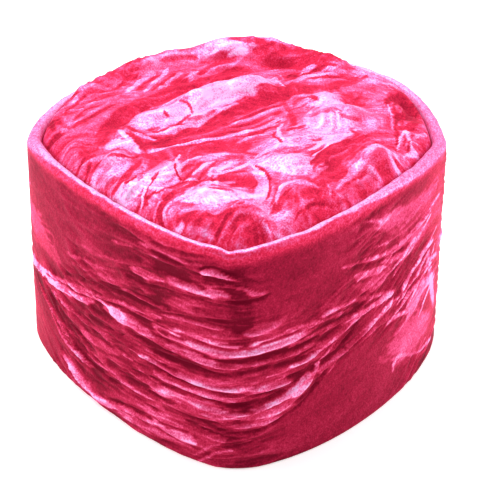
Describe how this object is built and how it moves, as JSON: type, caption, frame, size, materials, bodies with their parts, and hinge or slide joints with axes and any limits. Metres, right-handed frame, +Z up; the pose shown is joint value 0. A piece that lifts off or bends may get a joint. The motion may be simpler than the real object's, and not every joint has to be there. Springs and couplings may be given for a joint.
{
  "type": "foldable velvet cap",
  "caption": "Soft tall cap with a doubled band that comes to a point in front, a rolled rim and a puffed, crumpled top panel sewn inside it.",
  "frame": {"origin": "centre of the cap's outline, on the surface that its hem stands on", "axes": "+Z up, -Y towards the pointed front, +X towards the wearer's left"},
  "size_m": [0.18, 0.2021, 0.1083],
  "materials": {
    "velvet_band": "crushed velvet",
    "velvet_crown": "crushed velvet"
  },
  "bodies": {
    "root": {"band": "velvet_band", "crown": "velvet_crown"}
  },
  "joints": []
}
